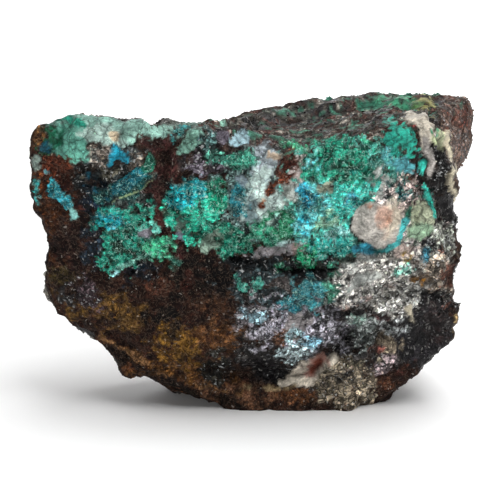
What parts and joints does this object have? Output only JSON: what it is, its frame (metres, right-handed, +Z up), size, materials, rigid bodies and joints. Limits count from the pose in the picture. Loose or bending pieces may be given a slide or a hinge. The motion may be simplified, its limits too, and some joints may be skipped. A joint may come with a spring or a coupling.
{
  "type": "chrysocolla specimen",
  "caption": "Rough hand-sized block of iron-stained rock with blue-green copper crust on its broken face, standing on a flat foot.",
  "frame": {"origin": "middle of the overall box in X and Y, on the flat foot in Z", "axes": "+X along the length, to the right seen from the show face; -Y out of the broken show face; +Z up"},
  "size_m": [0.0929, 0.0492, 0.064],
  "materials": {
    "rock": "rough broken iron-stained rock with blue-green copper-silicate crust, quartz grains and dark glossy oxide"
  },
  "bodies": {
    "root": {"chrysocolla_specimen": "rock"}
  },
  "joints": []
}
